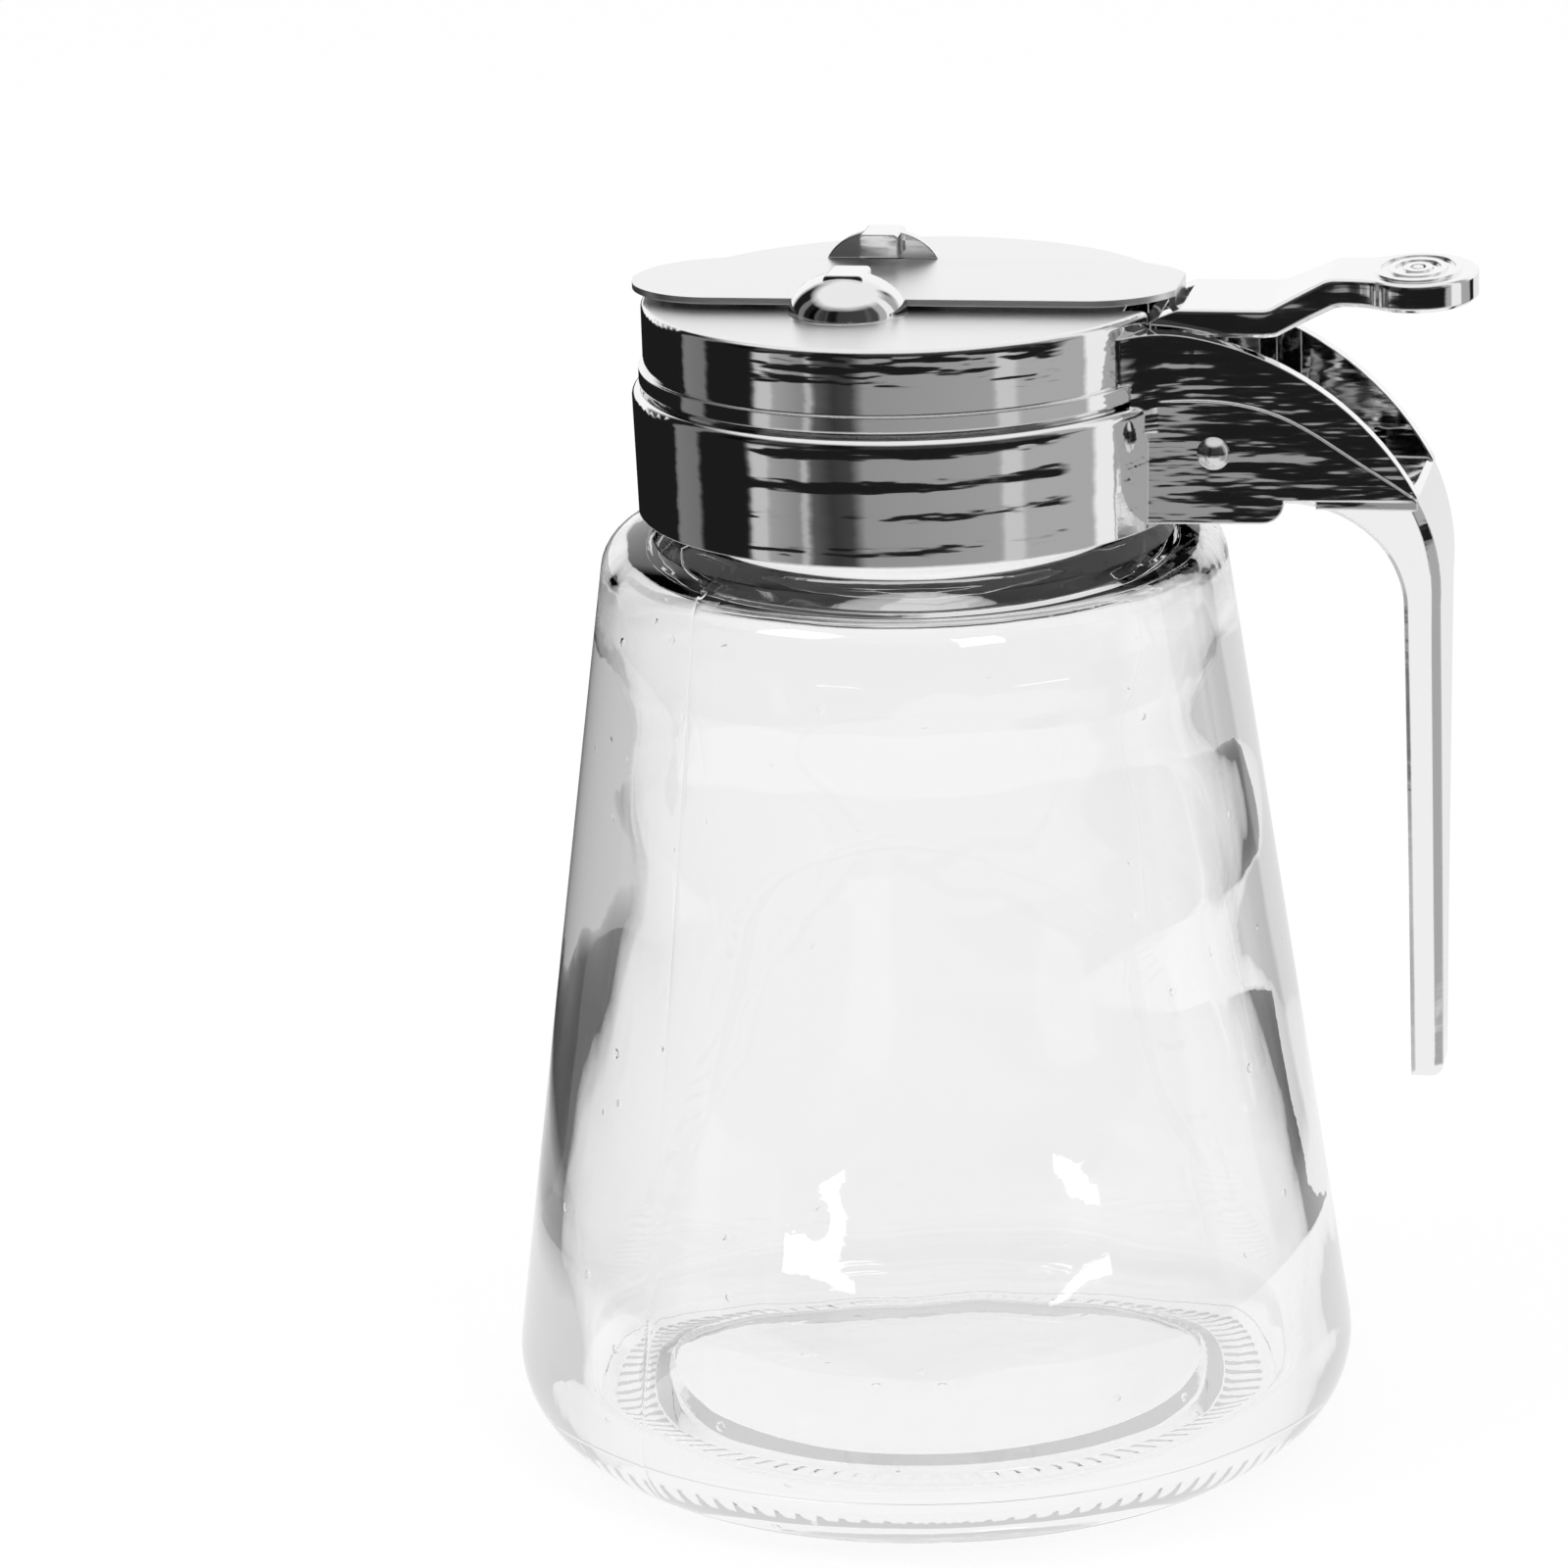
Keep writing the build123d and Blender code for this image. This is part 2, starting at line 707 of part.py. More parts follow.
# ---- torsion spring ----
def torsion_spring():
    first = -(hub_width / 2 + spring_gap + wire / 2)
    last = first - coil_turns * coil_pitch
    # the coil, wound about the pin
    coil_path = Helix(coil_pitch, coil_turns * coil_pitch, coil_radius)
    start = coil_path @ 0
    section = Plane(origin=start, z_dir=coil_path % 0) * Circle(wire / 2)
    coil = sweep(section, path=coil_path, is_frenet=True)
    # the helix climbs Z from (radius, 0); laid along -Y it starts beneath the pin
    coil = Pos(pivot[0], first, pivot[1]) * Rot(90, 0, 0) * Rot(0, 0, -90) * coil
    # the lower leg lies on the web
    rest = Vector(web_front + spring_foot, first, web_top + wire / 2)
    root = Vector(pivot[0], first, pivot[1] - coil_radius)
    lower = rest - root
    lower_leg = Plane(origin=root, z_dir=lower) * Cylinder(
        wire / 2, lower.length, align=(Align.CENTER, Align.CENTER, Align.MIN)
    )
    # the upper leg bears on the back of the lever's front bar
    tip_height = deck - lever_plate - spring_tip_drop
    top = Vector(slot_front + wire / 2 + spring_gap, last, tip_height)
    foot = Vector(pivot[0], last, pivot[1] - coil_radius)
    side = Vector(pivot[0] - coil_radius, last, pivot[1])
    turn = ThreePointArc(
        foot,
        Vector(
            pivot[0] - coil_radius * math.sin(math.pi / 4),
            last,
            pivot[1] - coil_radius * math.cos(math.pi / 4),
        ),
        side,
    )
    bend = sweep(Plane(origin=foot, z_dir=turn % 0) * Circle(wire / 2), path=turn)
    upper = top - side
    upper_leg = Plane(origin=side, z_dir=upper) * Cylinder(
        wire / 2, upper.length, align=(Align.CENTER, Align.CENTER, Align.MIN)
    )
    return coil + lower_leg + bend + upper_leg


# ---- pivot pin and its cap ----
def cheek_face(head_radius):
    """Where a head of this radius first meets the slanting outer face of a lower cheek."""
    return half_gap(pivot[0] - head_radius, lower_cheek_at_band, lower_cheek_at_corner)


def pivot_pin():
    face = cheek_face(pin_dome_radius)
    end = cheek_face(pin_cap_radius) + pin_cap_height / 2
    shaft = rod(pin_radius, -face - pin_head_root, end)
    arch = (pin_dome_radius**2 + pin_dome_height**2) / (2 * pin_dome_height)
    ball = Pos(pivot[0], -face - pin_dome_height + arch, pivot[1]) * Sphere(arch)
    dome = ball & rod(BIG, -face - 2 * pin_dome_height, -face)
    return shaft + dome


def pin_cap():
    face = cheek_face(pin_cap_radius)
    step = pin_cap_height / (pin_cap_rings + 1)
    crown = pin_cap_radius - pin_cap_bead
    cap = rod(crown, face, face + pin_cap_height - step / 2)
    for ring in range(pin_cap_rings):
        middle = face + (ring + 0.5) * step
        bead = Rot(90, 0, 0) * Torus(pin_cap_radius - step / 2, step / 2)
        cap += Pos(pivot[0], middle, pivot[1]) * bead
    arch = (crown**2 + step**2) / (2 * step)
    top = face + pin_cap_height
    ball = Pos(pivot[0], top - arch, pivot[1]) * Sphere(arch)
    cap += ball & rod(crown, top - step, top)
    return cap - rod(pin_radius + pin_fit, face - margin, face + pin_cap_height / 2)


os.makedirs("parts", exist_ok=True)
pieces = {
    "glass_jug": glass_jug,
    "neck_gasket": neck_gasket,
    "collar_handle": collar_handle,
    "top_cap": top_cap,
    "shutter": shutter,
    "thumb_lever": thumb_lever,
    "torsion_spring": torsion_spring,
    "pivot_pin": pivot_pin,
    "pin_cap": pin_cap,
}
for name, make in pieces.items():
    solid = make()
    print(name, len(solid.solids()), round(solid.volume, 1))
    export_step(solid, f"parts/{name}.step")
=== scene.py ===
import math

import bpy
import numpy as np
from mathutils import Matrix, Vector


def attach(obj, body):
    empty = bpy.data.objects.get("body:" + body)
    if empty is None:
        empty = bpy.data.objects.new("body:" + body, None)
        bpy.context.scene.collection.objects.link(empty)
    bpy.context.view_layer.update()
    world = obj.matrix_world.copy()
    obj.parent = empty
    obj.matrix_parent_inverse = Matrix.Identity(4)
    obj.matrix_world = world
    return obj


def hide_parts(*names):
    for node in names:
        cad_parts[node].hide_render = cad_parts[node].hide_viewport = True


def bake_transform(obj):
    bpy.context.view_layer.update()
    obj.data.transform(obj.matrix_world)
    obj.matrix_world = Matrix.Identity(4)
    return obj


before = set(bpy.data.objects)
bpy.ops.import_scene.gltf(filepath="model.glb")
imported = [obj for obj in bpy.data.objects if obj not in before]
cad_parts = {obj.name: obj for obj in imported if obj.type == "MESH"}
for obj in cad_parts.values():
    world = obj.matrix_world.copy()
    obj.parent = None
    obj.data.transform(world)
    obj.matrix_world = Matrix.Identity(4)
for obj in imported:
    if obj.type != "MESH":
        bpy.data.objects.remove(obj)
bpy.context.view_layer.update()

# ---- glass jug ----
# The jug is soda-lime glass, blown in a two-part mould: its inside is wavy and thicker on one
# side, a fine seam runs up two sides, and a ring of short bars under the foot is what it
# stands on.

class Reading:
    """A number or colour that varies over a surface.  Sums on readings add their Math nodes."""

    def __init__(self, nodes, socket):
        self.nodes = nodes
        self.socket = socket

    def __add__(self, other):
        return self.nodes.maths("ADD", self, other)

    def __sub__(self, other):
        return self.nodes.maths("SUBTRACT", self, other)

    def __rsub__(self, other):
        return self.nodes.maths("SUBTRACT", other, self)

    def __mul__(self, other):
        return self.nodes.maths("MULTIPLY", self, other)

    def __truediv__(self, other):
        return self.nodes.maths("DIVIDE", self, other)

    def __rtruediv__(self, other):
        return self.nodes.maths("DIVIDE", other, self)

    def __gt__(self, other):
        return self.nodes.maths("GREATER_THAN", self, other)

    def __lt__(self, other):
        return self.nodes.maths("LESS_THAN", self, other)

    __radd__ = __add__
    __rmul__ = __mul__


class Nodes:
    """One node tree and the way its nodes are made."""

    def __init__(self, tree):
        self.tree = tree
        self.tree.nodes.clear()

    def make(self, kind, settings=None, sockets=None, output=0):
        """A node: its settings first, then the values or links of its sockets."""
        node = self.tree.nodes.new(kind)
        for key, value in (settings or {}).items():
            if key == "stops":
                stops = node.color_ramp.elements
                while len(stops) < len(value):
                    stops.new(0.5)
                for stop, (place, level) in zip(stops, value):
                    stop.position = place
                    stop.color = (level, level, level, 1)
            else:
                setattr(node, key, value)
        for key, value in (sockets or {}).items():
            if isinstance(value, Reading):
                self.tree.links.new(value.socket, node.inputs[key])
            else:
                node.inputs[key].default_value = value
        return Reading(self, node.outputs[output]) if node.outputs else None

    def maths(self, operation, *values):
        return self.make("ShaderNodeMath", {"operation": operation}, dict(enumerate(values)))

    def axes(self, where):
        """The x, y and z of a place."""
        split = self.make("ShaderNodeSeparateXYZ", {}, {"Vector": where}).socket.node
        return [Reading(self, socket) for socket in split.outputs]

    def from_axis(self, x, y):
        """The distance from the upright axis of the jug."""
        return self.maths("SQRT", x * x + y * y)


class Finish(Nodes):
    """The shader of a material, or of the world."""

    def __init__(self, name, owner=None):
        self.owner = owner or bpy.data.materials.new(name)
        self.owner.use_nodes = True
        super().__init__(self.owner.node_tree)

    def position(self, kind="Object"):
        """The x, y and z of the point that is shaded, or of a direction in the world."""
        return self.axes(self.make("ShaderNodeTexCoord", output=kind))

    def height(self):
        """How high the shaded point lies."""
        return self.position()[2]

    def place(self, scale=(1, 1, 1), turn=(0, 0, 0)):
        """Object coordinates, stretched and turned."""
        where = self.make("ShaderNodeTexCoord", output="Object")
        sockets = {"Vector": where, "Scale": scale, "Rotation": turn}
        return self.make("ShaderNodeMapping", {}, sockets)

    def noise(self, where, scale, detail=2.0, roughness=0.5):
        """Even noise about 0.5; scale is in bumps per metre."""
        sockets = {"Vector": where, "Scale": scale, "Detail": detail, "Roughness": roughness}
        return self.make("ShaderNodeTexNoise", {"noise_dimensions": "3D"}, sockets)

    def relief(self, height, depth, under=None):
        """A bump of this height in metres over the surface, or over another bump."""
        sockets = {"Height": height, "Distance": depth, "Strength": 1.0}
        if under:
            sockets["Normal"] = under
        return self.make("ShaderNodeBump", {}, sockets)

    def ease(self, value, low, high, way="LINEAR"):
        """0 at low and 1 at high, which may be the lesser of the two."""
        sockets = {"Value": value, "From Min": low, "From Max": high}
        return self.make("ShaderNodeMapRange", {"interpolation_type": way}, sockets)

    def light_path(self, reading):
        return self.make("ShaderNodeLightPath", output=reading)

    def mirrored_more(self, times):
        """1 for rays that have been mirrored more than this many times."""
        return self.light_path("Glossy Depth") > times + 0.5

    def surface(self, **sockets):
        """The shader itself; its sockets are written with _ for a space."""
        named = {key.replace("_", " "): value for key, value in sockets.items()}
        return self.make("ShaderNodeBsdfPrincipled", {}, named)

    def end(self, shader, kind="ShaderNodeOutputMaterial"):
        self.make(kind, {}, {"Surface": shader})
        return self.owner


class Shaper(Nodes):
    """A Geometry Nodes tree with named inputs, and the mesh it makes of another."""

    def __init__(self, name, **inputs):
        super().__init__(bpy.data.node_groups.new(name, "GeometryNodeTree"))
        face = self.tree.interface
        kinds = {"Geometry": "NodeSocketGeometry", "Material": "NodeSocketMaterial"}
        self.values = {}
        for label, value in {"Geometry": None, "Material": None, **inputs}.items():
            number = "NodeSocketInt" if isinstance(value, int) else "NodeSocketFloat"
            kind = kinds.get(label, number)
            socket = face.new_socket(label.replace("_", " "), in_out="INPUT", socket_type=kind)
            self.values[label] = (socket.identifier, value)
        face.new_socket("Geometry", in_out="OUTPUT", socket_type="NodeSocketGeometry")

    def given(self, label):
        return self.make("NodeGroupInput", output=label.replace("_", " "))

    def mesh(self, geometry, source, material, name):
        """Ends the tree at this geometry and runs it on the source mesh."""
        whole = self.make("GeometryNodeRealizeInstances", {}, {"Geometry": geometry})
        sockets = {"Geometry": whole, "Material": self.given("Material")}
        self.make("NodeGroupOutput", {}, {0: self.make("GeometryNodeSetMaterial", {}, sockets)})
        holder = bpy.data.objects.new(name, source)
        bpy.context.scene.collection.objects.link(holder)
        work = holder.modifiers.new(name, "NODES")
        work.node_group = self.tree
        for label, (identifier, value) in self.values.items():
            if label != "Geometry":
                work[identifier] = material if label == "Material" else value
        view = bpy.context.evaluated_depsgraph_get()
        view.update()
        made = bpy.data.meshes.new_from_object(holder.evaluated_get(view))
        holder.modifiers.clear()
        bpy.data.objects.remove(holder)
        made.name = name
        made.polygons.foreach_set("use_smooth", [True] * len(made.polygons))
        return made


# the jug's sizes in millimetres, with angles in degrees from the handle's side
mm = 0.001
foot_radius, taper, wall = 47.5, 13.7 / 97, 4.2
shoulder_corner, neck_foot, rim, ceiling = 100.6, 104.0, 114.6, 99.3
neck_radius, neck_flare, neck_flare_drop = 25.0, 1.6, 0.6
bore_radius, rim_rounding, ceiling_thinning = 21.5, 0.8, 1.5
floor_height, gutter_radius, mound_height, mound_crown = 3.8, 34.0, 5.9, 7.0
punt_radius, punt_foot, punt_step, punt_crown = 29.4, 31.0, 2.2, 3.2
punt_dome_reach, mound_dome_reach = 26, 25
bar_count, bars_inner, bars_outer, bar_height, points_per_bar = 96, 32.0, 37.2, 0.4, 4
parting_reach, parting_size = 40.2, 0.12
parting_shape = [(-2, 0), (-0.7, 1), (0.7, 1), (2, 0)]
seam_angles = (-123.0, 57.0)
seam_height, seam_width, seam_top, seam_clearance = 0.03, 0.25, 1.3, 1
thread_height, thread_lead, thread_start, thread_turns, thread_half = 1.0, 3.4, 105.6, 1.6, 1.6
# bands of the blown wall, as height, spread, and how far its inside stands back, or in
wall_bands = [(52, 16, -2.1), (91, 8, 2.1), (22, 9, 0.7)]
heavy_height, heavy_spread, heavy_depth, heavy_angle = 64, 11, 1.0, 190
# slow waves of the blown wall, as size, waves round, how they turn with height, and start
blown_waves = [(1.0, 3, 5.1, 0.7), (0.6, 7, -9.0, 0.0), (0.5, 2, 17.0, 2.0), (0.16, 19, 23.0, 0.0)]
wave_depth, waves_fade_under_rim, waves_fade_over_floor = 0.22, 20, 6


def round_corners(corners, step=1.1, finer=1.6):
    """A line through corners with their radii, its arcs finely divided and its runs coarsely."""
    points = [Vector(corner[:2]) for corner in corners]
    line = []
    for at, point in enumerate(points):
        radius = corners[at][2]
        if not radius:
            line.append(point)
            continue
        before = (points[at - 1] - point).normalized()
        after = (points[at + 1] - point).normalized()
        half = before.angle(after) / 2
        back = radius / math.tan(half)
        centre = point + (before + after).normalized() * radius / math.sin(half)
        start, stop = point + before * back - centre, point + after * back - centre
        swing = start.angle(stop)
        pieces = max(4, math.ceil(radius * swing / step * finer))
        for piece in range(pieces + 1):
            share = piece / pieces
            along = start * math.sin((1 - share) * swing) + stop * math.sin(share * swing)
            line.append(centre + along / math.sin(swing))
    full = [line[0]]
    for point in line[1:]:
        start = full[-1]
        run = point - start
        pieces = max(1, round(run.length / step / finer))
        full += [start + run * (piece / pieces) for piece in range(1, pieces + 1)]
    return full


def low_dome(edge_reach, edge_height, crown, used_reach, steps=10):
    """Points of a low dome, from the axis out to the reach that is used of it."""
    arch = (edge_reach**2 + (crown - edge_height) ** 2) / (2 * (crown - edge_height))
    reaches = [edge_reach * step / steps for step in range(steps)]
    return [
        Vector((reach, math.sqrt(arch**2 - reach**2) - arch + crown))
        for reach in reaches
        if reach < used_reach
    ]


def with_parting_ridge(line):
    """The mould's bottom plate leaves a thin ridge round the heel."""
    at = next(at for at, point in enumerate(line) if point.x > parting_reach and point.y > 0)
    along = (line[at] - line[at - 1]).normalized()
    out = Vector((along.y, -along.x))
    middle = line[at - 1] + along * (parting_reach - line[at - 1].x) / along.x
    ridge = [middle + (along * run + out * rise) * parting_size for run, rise in parting_shape]
    return line[:at] + ridge + line[at:]


def jug_profile():
    """The glass in section, from the middle of the punt round to the middle of the floor."""
    # each corner's reach, height and radius
    corners = [
        (punt_radius - 2, punt_step + 0.05, 0),
        (punt_radius, punt_step, 0.7),
        (punt_foot, 0, 0.5),
        (foot_radius, 0, 9.5),
        (foot_radius - taper * shoulder_corner, shoulder_corner, 4.5),
        (neck_radius + neck_flare, neck_foot - neck_flare_drop, 0.5),
        (neck_radius, neck_foot, 0.5),
        (neck_radius, rim, rim_rounding),
        (bore_radius, rim, rim_rounding),
        (bore_radius, ceiling, 1.2),
        (foot_radius - taper * ceiling - wall + ceiling_thinning, ceiling, 2.5),
        (foot_radius - taper * floor_height - wall, floor_height, 7.0),
        (gutter_radius, floor_height, 2.5),
        (punt_radius, mound_height, 0.5),
        (punt_radius - 3, mound_height + 0.2, 0),
    ]
    line = with_parting_ridge(round_corners(corners))
    below = low_dome(punt_radius, punt_step, punt_crown, punt_dome_reach)
    above = low_dome(punt_radius, mound_height, mound_crown, mound_dome_reach)
    return below + line + above[::-1]


def with_seams(radius, angles):
    """The mould's two halves leave a fine raised seam."""
    for seam in seam_angles:
        off = np.abs(np.degrees(angles) - seam)
        radius = radius + seam_height * np.clip(seam_top - off / seam_width, 0, 1)
    return radius


def with_thread(radius, angles, height):
    """The neck's thread, which the collar screws on."""
    turn = (np.degrees(angles) % 360) / 360
    for lap in range(-1, 3):
        run = turn + lap
        middle = thread_start + thread_lead * run
        there = (run > 0) & (run < thread_turns)
        near = np.clip(thread_half - np.abs(height - middle), 0, 1)
        radius = np.where(there, radius + thread_height * near, radius)
    return radius


def swell(height, middle, spread):
    """1 at the middle height, falling softly away from it."""
    return math.exp(-(((height - middle) / spread) ** 2))


def blown(radius, angles, height):
    """The blown inside: thick and thin bands, a heavy side, and slow waves between the ends."""
    for middle, spread, back in wall_bands:
        radius = radius + back * swell(height, middle, spread)
    heavy = heavy_depth * swell(height, heavy_height, heavy_spread)
    radius = radius - heavy * np.cos(angles - math.radians(heavy_angle))
    rise = height / rim
    under_rim = min(1, (rim - height) / waves_fade_under_rim)
    over_floor = min(1, max(0, (height - floor_height) / waves_fade_over_floor))
    depth = wave_depth * math.sin(under_rim * math.pi / 2) * over_floor
    wave = sum(
        size * np.sin(times * angles + climb * rise + start)
        for size, times, climb, start in blown_waves
    )
    return radius + depth * wave / 2


def closed_skin(name, rings):
    """A mesh over the rings; the first and the last ring are drawn together to a point."""
    count = len(rings[0])
    first, last = (ring[:1] * [0, 0, 1] for ring in (rings[0], rings[-1]))
    points = np.vstack([first, *rings[1:-1], last])
    end = len(points) - 1
    top = end - count
    faces = []
    for low in range(1, top, count):
        high = low + count
        for at in range(count):
            after = (at + 1) % count
            faces.append((low + at, low + after, high + after, high + at))
    for at in range(count):
        after = (at + 1) % count
        faces.append((0, 1 + after, 1 + at))
        faces.append((end, top + at, top + after))
    mesh = bpy.data.meshes.new(name)
    mesh.from_pydata(points.tolist(), [], faces)
    mesh.update()
    return mesh


def glass_mesh():
    """The jug's section turned round, with its seams, thread and blown inside."""
    profile = jug_profile()
    angles = set(np.linspace(-180, 180, bar_count * points_per_bar, endpoint=False).round(4))
    for seam in seam_angles:
        angles |= {seam - seam_width, seam - seam_width / 3}
        angles |= {seam + seam_width / 3, seam + seam_width}
    angles = np.radians(np.array(sorted(angles)))
    # the rim's own few points, between the outside and the inside, stay round
    rim_at = max(range(len(profile)), key=lambda at: profile[at].y)
    rings = []
    for at, (reach, height) in enumerate(profile):
        outside, inside = at < rim_at + 2, at > rim_at + 5
        radius = np.full(len(angles), reach)
        level = np.full(len(angles), height)
        if outside and seam_clearance < height < neck_foot - seam_clearance:
            radius = with_seams(radius, angles)
        if outside and neck_foot < height < rim - rim_rounding:
            radius = with_thread(radius, angles, height)
        if inside and reach > 1:
            radius = blown(radius, angles, height)
        ring = np.stack([radius * np.cos(angles), radius * np.sin(angles), level], 1)
        rings.append(ring * mm)
    return closed_skin("jug_without_bars", rings)


def with_foot_bars(mesh, material):
    """Presses the ring of short radial bars into the underside."""
    shaper = Shaper(
        "foot_bars",
        Bar_Count=float(bar_count),
        Inner_Radius=bars_inner * mm,
        Outer_Radius=bars_outer * mm,
        Bar_Height=bar_height * mm,
    )
    underside, bar_share = 0.01 * mm, 0.49
    x, y, z = shaper.axes(shaper.make("GeometryNodeInputPosition"))
    reach = shaper.from_axis(x, y)
    # a whole turn and a hair more, so that no bar's edge falls exactly on a line of points
    turn = shaper.maths("ARCTAN2", y, x) / (2 * math.pi) + 1.0001
    between = shaper.maths("FRACT", turn * shaper.given("Bar_Count")) > bar_share
    within = (reach > shaper.given("Inner_Radius")) * (reach < shaper.given("Outer_Radius"))
    lift = between * within * (z < underside) * shaper.given("Bar_Height")
    offset = shaper.make("ShaderNodeCombineXYZ", {}, {"Z": lift})
    sockets = {"Geometry": shaper.given("Geometry"), "Offset": offset}
    pressed = shaper.make("GeometryNodeSetPosition", {}, sockets)
    return shaper.mesh(pressed, mesh, material, "jug_glass")


def add(mesh, body, slot, material, *nodes):
    """A finished piece: it rides on its body, if it has one, and stands for its CAD nodes."""
    piece = bpy.data.objects.new(mesh.name, mesh)
    bpy.context.scene.collection.objects.link(piece)
    mesh.materials.clear()
    mesh.materials.append(material)
    if body:
        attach(piece, body)
    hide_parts(*nodes)
    return piece


# in metres: up to here rays that go round in the thick glass get a painted grey glow
painted_glow_below = 0.09


def clear_glass():
    """Colourless glass with soft waves, upright drawing lines, a few seeds, and a painted grey
    glow low down.
    """
    finish = Finish("clear_glass")
    where = finish.place()
    slow = finish.noise(where, 38, 2.0, 0.45)
    drawn = finish.noise(finish.place((1, 1, 0.22)), 150)
    fine = finish.noise(where, 900)
    normal = finish.relief(slow, 0.00022)
    normal = finish.relief(drawn, 0.00003, normal)
    normal = finish.relief(fine, 0.0000012, normal)
    # seeds: the few tiny bubbles that stay in the glass
    sockets = {"Vector": where, "Scale": 110.0}
    cells = finish.make("ShaderNodeTexVoronoi", {"feature": "F1"}, sockets, "Distance")
    seed_edge = [(0.0, 1.0), (0.035, 1.0), (0.06, 0.0)]
    seed = finish.make("ShaderNodeValToRGB", {"stops": seed_edge}, {"Fac": cells})
    glass = finish.surface(
        Base_Color=(0.975, 0.975, 0.975, 1),
        Roughness=0.0,
        IOR=1.5,
        Transmission_Weight=1.0,
        Normal=finish.relief(seed, 0.0001, normal),
    )
    # painted glow: where rays have been mirrored round and round in the thick wall and foot, the
    # glass glows an even grey in place of that light
    painted_glow_mask = finish.mirrored_more(2) * (finish.height() < painted_glow_below)
    grey = finish.make("ShaderNodeEmission", {}, {"Color": (0.62, 0.62, 0.62, 1)})
    return finish.end(finish.make("ShaderNodeMixShader", {}, {0: painted_glow_mask, 1: glass, 2: grey}))


glass = clear_glass()
add(with_foot_bars(glass_mesh(), glass), "jug", "clear_glass", glass, "glass_jug")

# ---- sealing ring ----
# A flat washer of dark food-grade rubber, punched from sheet, that the collar presses on the
# jug's rim.

def seal_rubber():
    """Matt dark rubber, a little blotchy."""
    finish = Finish("seal_rubber")
    grain = finish.noise(finish.place(), 2500, 3.0, 0.6)
    blotch = finish.noise(finish.place(), 160, 3.0)
    greys = [(0.3, 0.05), (0.7, 0.09)]
    rubber = finish.surface(
        Base_Color=finish.make("ShaderNodeValToRGB", {"stops": greys}, {"Fac": blotch}),
        Roughness=0.55 + grain * 0.2,
        Normal=finish.relief(grain, 0.00002),
    )
    return finish.end(rubber)


def dress(node, material):
    """A CAD node keeps its shape and gets its real finish."""
    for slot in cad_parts[node].material_slots:
        slot.material = material


dress("neck_gasket", seal_rubber())

# ---- collar, cheeks and handle ----
# One moulding in ABS with bright chrome plating: screw band, two cheeks, platform and bar.  The
# plating shows the moulding's slow waves and sinks, and the finest of rubbing marks.

# in metres: the wave that the inside thread leaves on the band, and where the band ends
sink_pitch, sink_depth, band_radius, band_end = 0.0035, 0.00004, 0.0285, (0.028, 0.018)
# in metres: where the cheeks begin and their middle height, and how much they lean
cheeks_begin, cheek_middle, cheek_lean = (0.030, 0.036), 0.11, 0.012
edge_radius = 0.00028


def plating(name, waves, wave_depth, lens_depth, sinks=None, satin=None):
    """Chrome over a moulding, which may have sinks of its own or a satin part."""
    finish = Finish(name)
    slow = finish.noise(finish.place((0.6, 0.6, 1)), waves, 1.5)
    lenses = finish.noise(finish.place((0.2, 0.2, 1)), 270, 3.0, 0.55)
    drag = finish.noise(finish.place((0.05, 0.05, 1)), 1500)
    rubbed = finish.noise(finish.place((1, 1, 9), (0.3, 0.2, 0.5)), 900, 3.0, 0.6)
    haze = finish.noise(finish.place(), 70, 3.0, 0.6)
    normal = finish.make("ShaderNodeBevel", {"samples": 6}, {"Radius": edge_radius})
    if sinks:
        normal = finish.relief(sinks(finish), 1.0, normal)
    normal = finish.relief(slow, wave_depth, normal)
    normal = finish.relief(lenses, lens_depth, normal)
    normal = finish.relief(drag, 0.0000025, normal)
    normal = finish.relief(rubbed, 0.0000006, normal)
    rough = 0.02 + haze * 0.03 + rubbed * 0.02
    if satin:
        rough = rough + satin(finish)
    chrome = finish.surface(
        Base_Color=(0.9, 0.9, 0.9, 1), Metallic=1.0, Roughness=rough, Normal=normal
    )
    return finish.end(chrome)


def thread_sinks(finish):
    """The thread inside the band, showing through the plating as a faint turning wave."""
    x, y, z = finish.position()
    turn = z * (2 * math.pi / sink_pitch) - finish.maths("ARCTAN2", y, x)
    wave = finish.maths("SINE", turn)
    fade = finish.noise(finish.place((1, 1, 0.3)), 55, 1.0)
    on_band = finish.ease(x, *band_end, "SMOOTHSTEP") * (finish.from_axis(x, y) > band_radius)
    # the cheeks lean out by half a degree or so
    on_cheeks = finish.ease(x, *cheeks_begin, "SMOOTHSTEP")
    lean = (cheek_middle - z) * cheek_lean * on_cheeks
    return wave * on_band * fade * sink_depth + lean


dress("collar_handle", plating("handle_plating", 80, 0.0002, 0.00009, thread_sinks))

# ---- cap ----
# A second plated moulding that snaps into the collar: ringed foot, low wall, deck with the
# pour hole, and the two eared hooks that hold the shutter down.

# in metres: the low wall and how far it bulges, and the deck, with how much rougher it is
wall_foot, wall_height, wall_bulge = 0.1200, 0.0069, 0.00022
deck_level, deck_reach, deck_satin = 0.127, 0.00005, 0.3


def wall_draft(finish):
    """The low wall's slight barrel, which parts its reflection into a dark and a light half."""
    up = (finish.height() - wall_foot) / wall_height
    return up * (2.2 - up) * wall_bulge


def satin_deck(finish):
    """The deck's plane is moulded satin, so it mirrors less sharply than the rest."""
    up = finish.height()
    return (up > deck_level - deck_reach) * (up < deck_level + deck_reach) * deck_satin


dress("top_cap", plating("cap_plating", 80, 0.00012, 0.00012, wall_draft, satin_deck))

# ---- shutter ----
# Stainless strip, blanked and bent once, that slides over the pour hole under the hooks.  Its
# top has the mill's satin grain along its length.

